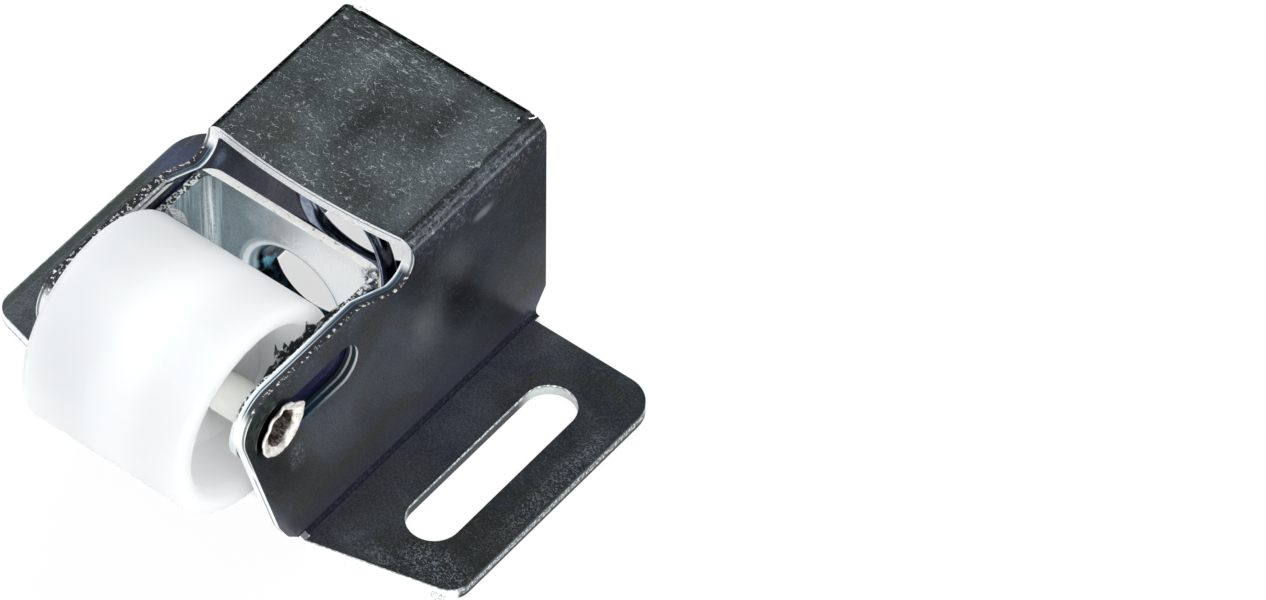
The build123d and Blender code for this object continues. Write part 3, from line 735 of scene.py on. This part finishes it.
def spring_wire():
    """Dark drawn wire with a smooth, slightly blue skin, a painted highlight down its left side and painted glints."""
    s = Surface("spring_wire")
    tree, place = s.tree, s.place
    cloud = noise(tree, place, 0.7, 3.0, 0.6)
    grain = noise(tree, place, 6.0, 2.0, 0.6)
    steel = mix(tree, ramp(tree, cloud, 0.35, 0.7), (0.22, 0.27, 0.38), (0.46, 0.53, 0.64))
    # Painted highlight: the wire's left side pale, and a thin pale glint band.
    painted_rim_highlight = ramp(tree, s.nx, -0.55, -0.85)
    glint = times(tree, line_at(tree, s.nz, 0.55, 0.12, 0.04), ramp(tree, cloud, 0.35, 0.5, 0.3, 1.0))
    bright = any_of(tree, painted_rim_highlight, times(tree, glint, 0.6))
    steel = mix(tree, bright, steel, (0.86, 0.9, 0.95))
    metal = blend(tree, bright, 1.0, 0.35)
    rough = blend(tree, cloud, 0.12, 0.22)
    relief = bump(tree, grain, 0.004, 0.5)
    return s.finish({"Base Color": steel, "Metallic": metal, "Roughness": rough, "Normal": relief})


def rivet_metal():
    """Warm pale plate on the rivet, smooth on the head and shank and ragged on the spread rim."""
    s = Surface("rivet_metal")
    tree = s.tree
    cloud = noise(tree, s.place, 1.4, 3.0, 0.65)
    pale = mix(tree, ramp(tree, cloud, 0.36, 0.6), (0.68, 0.62, 0.57), (0.97, 0.95, 0.91))
    smooth = within(tree, s.x, -99, 10)
    steel = mix(tree, smooth, pale, (0.98, 0.975, 0.93))
    rough = blend(tree, smooth, blend(tree, cloud, 0.22, 0.36), 0.42)
    metal = blend(tree, smooth, 0.6, 0.15)
    relief = bump(tree, times(tree, cloud, opposite(tree, smooth)), 0.12, 0.5)
    return s.finish({"Base Color": steel, "Metallic": metal, "Roughness": rough, "Normal": relief})


def rivet_hollow():
    """The rivet's hollow: dark brown, ridged and pocked, paler where the tube opens out."""
    s = Surface("rivet_hollow")
    tree, place = s.tree, s.place
    ridges = noise(tree, stretched(tree, place, (35, 0, 0), (1.2, 3.0, 0.9)), 1.0, 3.0, 0.65)
    pocks = noise(tree, place, 3.0, 3.0, 0.7)
    brown = mix(tree, ramp(tree, ridges, 0.4, 0.62), (0.06, 0.05, 0.038), (0.42, 0.36, 0.31))
    brown = mix(tree, ramp(tree, pocks, 0.52, 0.6), brown, (0.03, 0.025, 0.02))
    mouth = times(tree, ramp(tree, s.x, 10.95, 11.15), ramp(tree, s.y, -13.0, -12.2))
    shade = mix(tree, mouth, brown, (0.9, 0.87, 0.82))
    relief = bump(tree, ridges, 0.08, 0.7)
    relief = bump(tree, pocks, 0.05, 0.6, relief)
    return s.finish({"Base Color": shade, "Metallic": 0.6, "Roughness": 0.38, "Normal": relief})


def chip_metal():
    """Freshly torn metal: pale, rough and glinting."""
    s = Surface("chip_metal")
    torn = noise(s.tree, s.place, 5.0, 3.0, 0.7)
    pale = mix(s.tree, ramp(s.tree, torn, 0.38, 0.55), (0.4, 0.4, 0.38), (0.96, 0.96, 0.95))
    relief = bump(s.tree, torn, 0.06, 0.6)
    return s.finish({"Base Color": pale, "Metallic": 0.12, "Roughness": 0.4, "Normal": relief})


def torn_metal():
    """A torn edge in shadow: near black with pale glints along its ridges."""
    s = Surface("torn_metal")
    glints = noise(s.tree, stretched(s.tree, s.place, (0, 0, 0), (2.0, 0.5, 1.3)), 2.0, 3.0, 0.65)
    shade = mix(s.tree, ramp(s.tree, glints, 0.55, 0.61), (0.03, 0.035, 0.035), (0.6, 0.63, 0.6))
    relief = bump(s.tree, glints, 0.1, 0.6)
    return s.finish({"Base Color": shade, "Metallic": 0.4, "Roughness": 0.4, "Normal": relief})


def nylon():
    """Natural white nylon that lets light in, with a fine moulded skin."""
    s = Surface("nylon")
    tree, place = s.tree, s.place
    cloud = noise(tree, place, 0.12, 3.0, 0.6)
    grain = noise(tree, place, 2.2, 3.0, 0.6)
    white = mix(tree, ramp(tree, cloud, 0.3, 0.7), (0.775, 0.79, 0.795), (0.795, 0.80, 0.795))
    # Painted light: paler within the end recesses and round the axle, to make up for their shade.
    reach = distance(tree, s.y, s.z, AXLE)
    white = mix(tree, ramp(tree, reach, 9.3, 8.4), white, (0.985, 0.988, 0.98))
    return s.finish({
        "Base Color": white,
        "Roughness": blend(tree, grain, 0.32, 0.44),
        "Normal": bump(tree, grain, 0.006, 0.5),
        "IOR": 1.53,
        "Subsurface Weight": 1.0,
        "Subsurface Radius": (1.0, 0.98, 0.96),
        "Subsurface Scale": 0.017,
    })


def floor_white():
    """A pale floor that keeps the shadow and shows as white, with painted shadow under the hood, where it shows less
    white.
    """
    s = Surface("floor_white")
    tree = s.tree
    # Painted shadow: the floor under the hood shows darker.
    under = times(tree, within(tree, s.ax, -1, 10.4), within(tree, s.y, -9, 22.6))
    paths = tree.nodes.new("ShaderNodeLightPath")
    rays = [paths.outputs[name] for name in ("Is Camera Ray", "Is Glossy Ray", "Is Transmission Ray")]
    plain = add(tree, "ShaderNodeBsdfDiffuse", {"Color": grey(0.86)})
    glow = add(tree, "ShaderNodeEmission", {"Color": grey(1), "Strength": 1.0})
    share = times(tree, any_of(tree, *rays), blend(tree, under, 0.96, 0.68))
    both = add(tree, "ShaderNodeMixShader", {0: share, 1: plain.outputs[0], 2: glow.outputs[0]})
    out = tree.nodes.new("ShaderNodeOutputMaterial")
    tree.links.new(both.outputs[0], out.inputs[0])
    return s.material


def studio_world():
    """A plain room: pale in front, overhead and at the sides, dark behind."""
    world = bpy.data.worlds.new("studio")
    world.use_nodes = True
    tree = world.node_tree
    tree.nodes.clear()
    coords = tree.nodes.new("ShaderNodeTexCoord")
    _, y, z = split(tree, coords.outputs["Generated"])
    tone = ramp(tree, calc(tree, "ADD", y, times(tree, z, 0.25)), 0.5, 0.1)
    shade = mix(tree, tone, (0.10, 0.11, 0.115), (0.82, 0.84, 0.86))
    sky = add(tree, "ShaderNodeBackground", {"Color": shade, "Strength": 1.0})
    out = tree.nodes.new("ShaderNodeOutputWorld")
    tree.links.new(sky.outputs[0], out.inputs[0])
    bpy.context.scene.world = world


def soft_lamp(name, place, target, size, watts, mirrored):
    """A square soft lamp facing a point, which reflections may show or not."""
    data = bpy.data.lights.new(name, "AREA")
    data.shape = "SQUARE"
    data.size = size
    data.energy = watts
    lamp = bpy.data.objects.new(name, data)
    bpy.context.scene.collection.objects.link(lamp)
    lamp.location = place
    lamp.rotation_euler = (Vector(target) - Vector(place)).to_track_quat("-Z", "Y").to_euler()
    lamp.visible_glossy = mirrored


def studio():
    """The floor, the world and the lamps."""
    studio_world()
    mesh = bpy.data.meshes.new("floor")
    corners = [(-1, -1), (1, -1), (1, 1), (-1, 1)]
    mesh.from_pydata([(FLOOR_REACH * x, FLOOR_REACH * y, 0) for x, y in corners], [], [(0, 1, 2, 3)])
    floor = bpy.data.objects.new("floor", mesh)
    floor.location.z = -FLOOR_DROP
    bpy.context.scene.collection.objects.link(floor)
    mesh.materials.append(floor_white())
    for lamp in LAMPS:
        soft_lamp(*lamp)


def camera():
    """The photograph's view."""
    data = bpy.data.cameras.new("camera")
    data.sensor_width = CAMERA_SENSOR_MM
    data.lens = CAMERA_LENS_MM
    data.clip_start = 0.01
    data.clip_end = 20.0
    cam = bpy.data.objects.new("camera", data)
    bpy.context.scene.collection.objects.link(cam)
    rows = Matrix((CAMERA_RIGHT, CAMERA_UP, CAMERA_BACK)).transposed().to_4x4()
    cam.matrix_world = Matrix.Translation(CAMERA_PLACE) @ rows
    bpy.context.scene.camera = cam


def new_piece(name, work, material, body):
    """Makes an object of finished geometry that rides with a body."""
    bmesh.ops.recalc_face_normals(work, faces=work.faces)
    mesh = bpy.data.meshes.new(name)
    work.to_mesh(mesh)
    work.free()
    piece = bpy.data.objects.new(name, mesh)
    bpy.context.scene.collection.objects.link(piece)
    mesh.materials.append(material)
    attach(piece, body)
    return piece


def skinned(name, rings, look, body, unit=MM):
    """A closed piece through rings of the same count of points, with flat ends."""
    work = bmesh.new()
    rings = [[work.verts.new(Vector(point) * unit) for point in ring] for ring in rings]
    count = len(rings[0])
    for here, there in zip(rings, rings[1:]):
        for j in range(count):
            k = (j + 1) % count
            work.faces.new((here[j], here[k], there[k], there[j]))
    work.faces.new(list(reversed(rings[0])))
    work.faces.new(rings[-1])
    return new_piece(name, work, look, body)


def coil_share(turn):
    """How open the coil is at a turn: 0 on the closed end turns, 1 on the open ones."""
    length = REAR_WALL_IN_Y - WEB_REAR_Y - 2 * WIRE_R - 2 * SPRING_END_GAP
    closed = COILS - (length - END_PITCH * COILS) / (OPEN_PITCH - END_PITCH)
    start = (closed - 0.5) / 2
    near = min(turn, COILS - turn)
    return min(max((near - start) / 0.5, 0.0), 1.0)


def spring():
    """The spring's wire, swept round its coils, in place of the CAD's."""
    y = WEB_REAR_Y + SPRING_END_GAP + WIRE_R
    around = [2 * math.pi * j / WIRE_SIDES for j in range(WIRE_SIDES)]
    rings = []
    for i in range(int(COILS * STEPS_A_TURN) + 1):
        turn = i / STEPS_A_TURN
        angle = math.radians(COIL_PHASE_DEG) + 2 * math.pi * turn
        pitch = END_PITCH + (OPEN_PITCH - END_PITCH) * coil_share(turn)
        out = Vector((math.cos(angle), 0, math.sin(angle)))
        centre = Vector((0, y, COIL_CENTRE_Z)) + out * COIL_R
        run = Vector((-COIL_R * math.sin(angle), pitch / (2 * math.pi), COIL_R * math.cos(angle))).normalized()
        side = run.cross(out).normalized()
        rings.append([centre + (out * math.cos(a) + side * math.sin(a)) * WIRE_R for a in around])
        y += pitch / STEPS_A_TURN
    piece = skinned("spring", rings, spring_wire(), "bracket", 1.0)
    for face in piece.data.polygons:
        face.use_smooth = len(face.vertices) == 4
    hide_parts("compression_spring")
    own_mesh(piece)


def eased(value, stops, levels):
    """The level at a value between listed stops, with smooth passing from one to the next."""
    for i in range(len(stops) - 1):
        if value <= stops[i + 1]:
            share = (value - stops[i]) / (stops[i + 1] - stops[i])
            share = share * share * (3 - 2 * share)
            return levels[i] + (levels[i + 1] - levels[i]) * share
    return levels[-1]


def rivet_point(index, x, radius, share, turn):
    """A point of the rivet's skin: its profile's, with the rim's ragged reach and the hollow's grooves."""
    a = math.radians(turn)
    ripple = 0.02 * math.sin(9 * a + 1.3) + 0.014 * math.sin(17 * a + 0.4)
    reach = 1 + share * (eased(turn, RIM_TURNS, RIM_REACH) - 1 + min(ripple, 0.0))
    groove = 0.0
    if index >= RIVET_HOLLOW_FROM and radius > 0.5:
        groove = 0.05 * math.sin(7 * a + 0.8 * index) + 0.03 * math.sin(13 * a - index)
    lift = share * eased(turn, RIM_TURNS, RIM_LIFT) * RIM_LIFT_MM
    r = min(radius * reach + groove, RIM_MOST_R) if x > 0 else radius * reach + groove
    return Vector((min(x + max(lift, -0.02), RIM_MOST_X), AXLE[0] + r * math.cos(a), AXLE[1] + r * math.sin(a))) * MM


def rivet():
    """The axle rivet, with the ragged spread rim that the CAD shows as round."""
    work = bmesh.new()
    rings = []
    for index, (x, radius, share) in enumerate(RIVET_PROFILE):
        turns = [-180 + 360 * j / RIVET_SIDES for j in range(RIVET_SIDES if radius > 0 else 1)]
        rings.append([work.verts.new(rivet_point(index, x, radius, share, turn)) for turn in turns])
    for index, (here, there) in enumerate(zip(rings, rings[1:])):
        for j in range(RIVET_SIDES):
            k = (j + 1) % RIVET_SIDES
            corners = [here[j % len(here)], here[k % len(here)], there[k % len(there)], there[j % len(there)]]
            face = work.faces.new(list(dict.fromkeys(corners)))
            face.material_index = 1 if index >= RIVET_HOLLOW_FROM else 0
            face.smooth = True
    piece = new_piece("rivet", work, rivet_metal(), "slider")
    piece.data.materials.append(rivet_hollow())
    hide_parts("axle_rivet")


def corner_burr(look):
    """The bright burr that stands along the right side wall's rear edge where it bends into the top."""
    rings = []
    for i in range(BURR_STEPS + 1):
        share = i / BURR_STEPS
        a = math.radians(BURR_FROM_DEG - BURR_TURN_DEG * share)
        wide = BURR_WIDE * math.sin(math.pi * min(share + 0.06, 1.0)) ** 0.7 * (1 + 0.35 * math.sin(19 * share + 1))
        wide = max(wide, 0.01)
        if a >= 0:
            out = Vector((math.cos(a), 0, math.sin(a)))
            foot = Vector((TOP_BEND_X, WALL_REAR_Y, TOP_BEND_Z)) + out * TOP_BEND_R
        else:
            out = Vector((1, 0, 0))
            foot = Vector((HOOD_X, WALL_REAR_Y, TOP_BEND_Z + 3.0 * a))
        near = foot - out * 0.05
        top = foot + out * 0.02 + Vector((0, wide * 0.4, 0))
        tip = foot - out * 0.12 + Vector((0, wide, 0))
        rings.append([near, top, tip])
    skinned("corner_burr", rings, look, "bracket")


def torn_edge(look):
    """The ragged burr that stands along the inner top edge of the channel's right leg."""
    low = TORN_FOOT_Z
    rings = []
    for index, (y, height) in enumerate(TORN_HEIGHTS):
        curl = 0.12 * math.sin(2.3 * index)
        lean = 0.22 * height
        rings.append([
            (8.84, y, low),
            (8.8 - lean * 0.5, y + curl * 0.5, low + height * 0.55),
            (8.78 - lean, y + curl, low + height),
            (8.86 - lean, y + curl, low + height * 0.97),
            (8.98 - lean * 0.4, y + curl * 0.5, low + height * 0.5),
            (9.08, y, low),
        ])
    skinned("torn_edge", rings, look, "slider")


def shaving(name, spine, look):
    """A thin ragged shaving of the hood along a spine of points, each with its half width."""
    rings = []
    for index, (x, y, z, wide) in enumerate(spine):
        before, after = spine[max(index - 1, 0)], spine[min(index + 1, len(spine) - 1)]
        run = Vector((after[0] - before[0], after[1] - before[1], 0)).normalized()
        side = Vector((-run.y, run.x, 0)) * wide
        middle = Vector((x, y, z))
        below = middle - Vector((0, 0, SHAVING_DEPTH))
        rings.append([middle - side, below, middle + side, middle + Vector((0, 0, wide * 0.7))])
    skinned(name, rings, look, "bracket")


def bulge_height(x, y, at_edge):
    """The bulge's top over a point: along the lower of the two bends, a hair above it or, at its edge, below."""
    side = math.sqrt(TOP_BEND_R ** 2 - max(-x - TOP_BEND_X, 0.0) ** 2) - TOP_BEND_R
    rear = math.sqrt(REAR_BEND_R ** 2 - max(y - REAR_BEND_Y, 0.0) ** 2) - REAR_BEND_R
    return PLATE_Z + min(side, rear * 0.8) + (-BULGE_EDGE_DROP if at_edge else BULGE_RISE)


def corner_bulge(look):
    """The metal squeezed up at the hood's rear left corner, over the gap beside the rear fold."""
    last_i, last_j = len(BULGE_COLUMNS) - 1, len(BULGE_ROWS) - 1
    work = bmesh.new()
    layers = []
    for depth in (0.0, BULGE_DEPTH):
        layer = {}
        for i, x in enumerate(BULGE_COLUMNS):
            for j, y in enumerate(BULGE_ROWS):
                z = bulge_height(x, y, i in (0, last_i) or j in (0, last_j)) - depth
                layer[i, j] = work.verts.new(Vector((x, y, z)) * MM)
        for i in range(last_i):
            for j in range(last_j):
                face = work.faces.new((layer[i, j], layer[i + 1, j], layer[i + 1, j + 1], layer[i, j + 1]))
                face.smooth = True
        layers.append(layer)
    top, under = layers
    border = [(i, 0) for i in range(last_i + 1)] + [(last_i, j) for j in range(1, last_j + 1)]
    border += [(i, last_j) for i in range(last_i - 1, -1, -1)] + [(0, j) for j in range(last_j - 1, 0, -1)]
    for here, there in zip(border, border[1:] + border[:1]):
        work.faces.new((top[here], under[here], under[there], top[there]))
    new_piece("corner_bulge", work, look, "bracket")


def chip(name, corners, push, look, body):
    """A small ragged flake: a fan of corners with thickness."""
    work = bmesh.new()
    lift = Vector(push)
    low = [work.verts.new(Vector(c) * MM) for c in corners]
    high = [work.verts.new((Vector(c) + lift) * MM) for c in corners]
    middle = sum((Vector(c) for c in corners), Vector()) / len(corners)
    crown = work.verts.new((middle + lift * 1.5) * MM)
    base = work.verts.new(middle * MM)
    for j in range(len(corners)):
        k = (j + 1) % len(corners)
        work.faces.new((low[j], low[k], high[k], high[j]))
        work.faces.new((high[j], high[k], crown))
        work.faces.new((low[k], low[j], base))
    new_piece(name, work, look, body)


def burrs(hood_look):
    """Small torn edges: at the hood's rear corners, under the wing's front corner and on the legs."""
    chip_look = chip_metal()
    corner_burr(chip_look)
    torn_edge(torn_metal())
    corner_bulge(hood_look)
    for name, spine in SHAVINGS:
        shaving(name, spine, chip_look)
    chip("nub_wing", NUB_CORNERS, NUB_RISE, chip_look, "bracket")
    chip("leg_flake", FLAKE_CORNERS, FLAKE_RISE, chip_look, "slider")


def paint(node, material):
    """Gives a CAD node its material."""
    node.data.materials.clear()
    node.data.materials.append(material)


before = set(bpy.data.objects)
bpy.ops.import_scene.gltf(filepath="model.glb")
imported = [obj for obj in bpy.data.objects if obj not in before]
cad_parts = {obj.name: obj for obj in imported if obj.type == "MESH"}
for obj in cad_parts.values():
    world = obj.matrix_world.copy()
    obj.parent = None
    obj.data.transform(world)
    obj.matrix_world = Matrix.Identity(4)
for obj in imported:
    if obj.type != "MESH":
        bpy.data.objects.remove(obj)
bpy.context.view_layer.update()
bpy.context.scene.view_settings.view_transform = "Standard"
studio()
camera()
hood_look = hood_zinc()
paint(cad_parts["hood_bracket"], hood_look)
paint(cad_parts["slider_channel"], channel_zinc())
paint(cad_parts["roller"], nylon())
spring()
rivet()
burrs(hood_look)
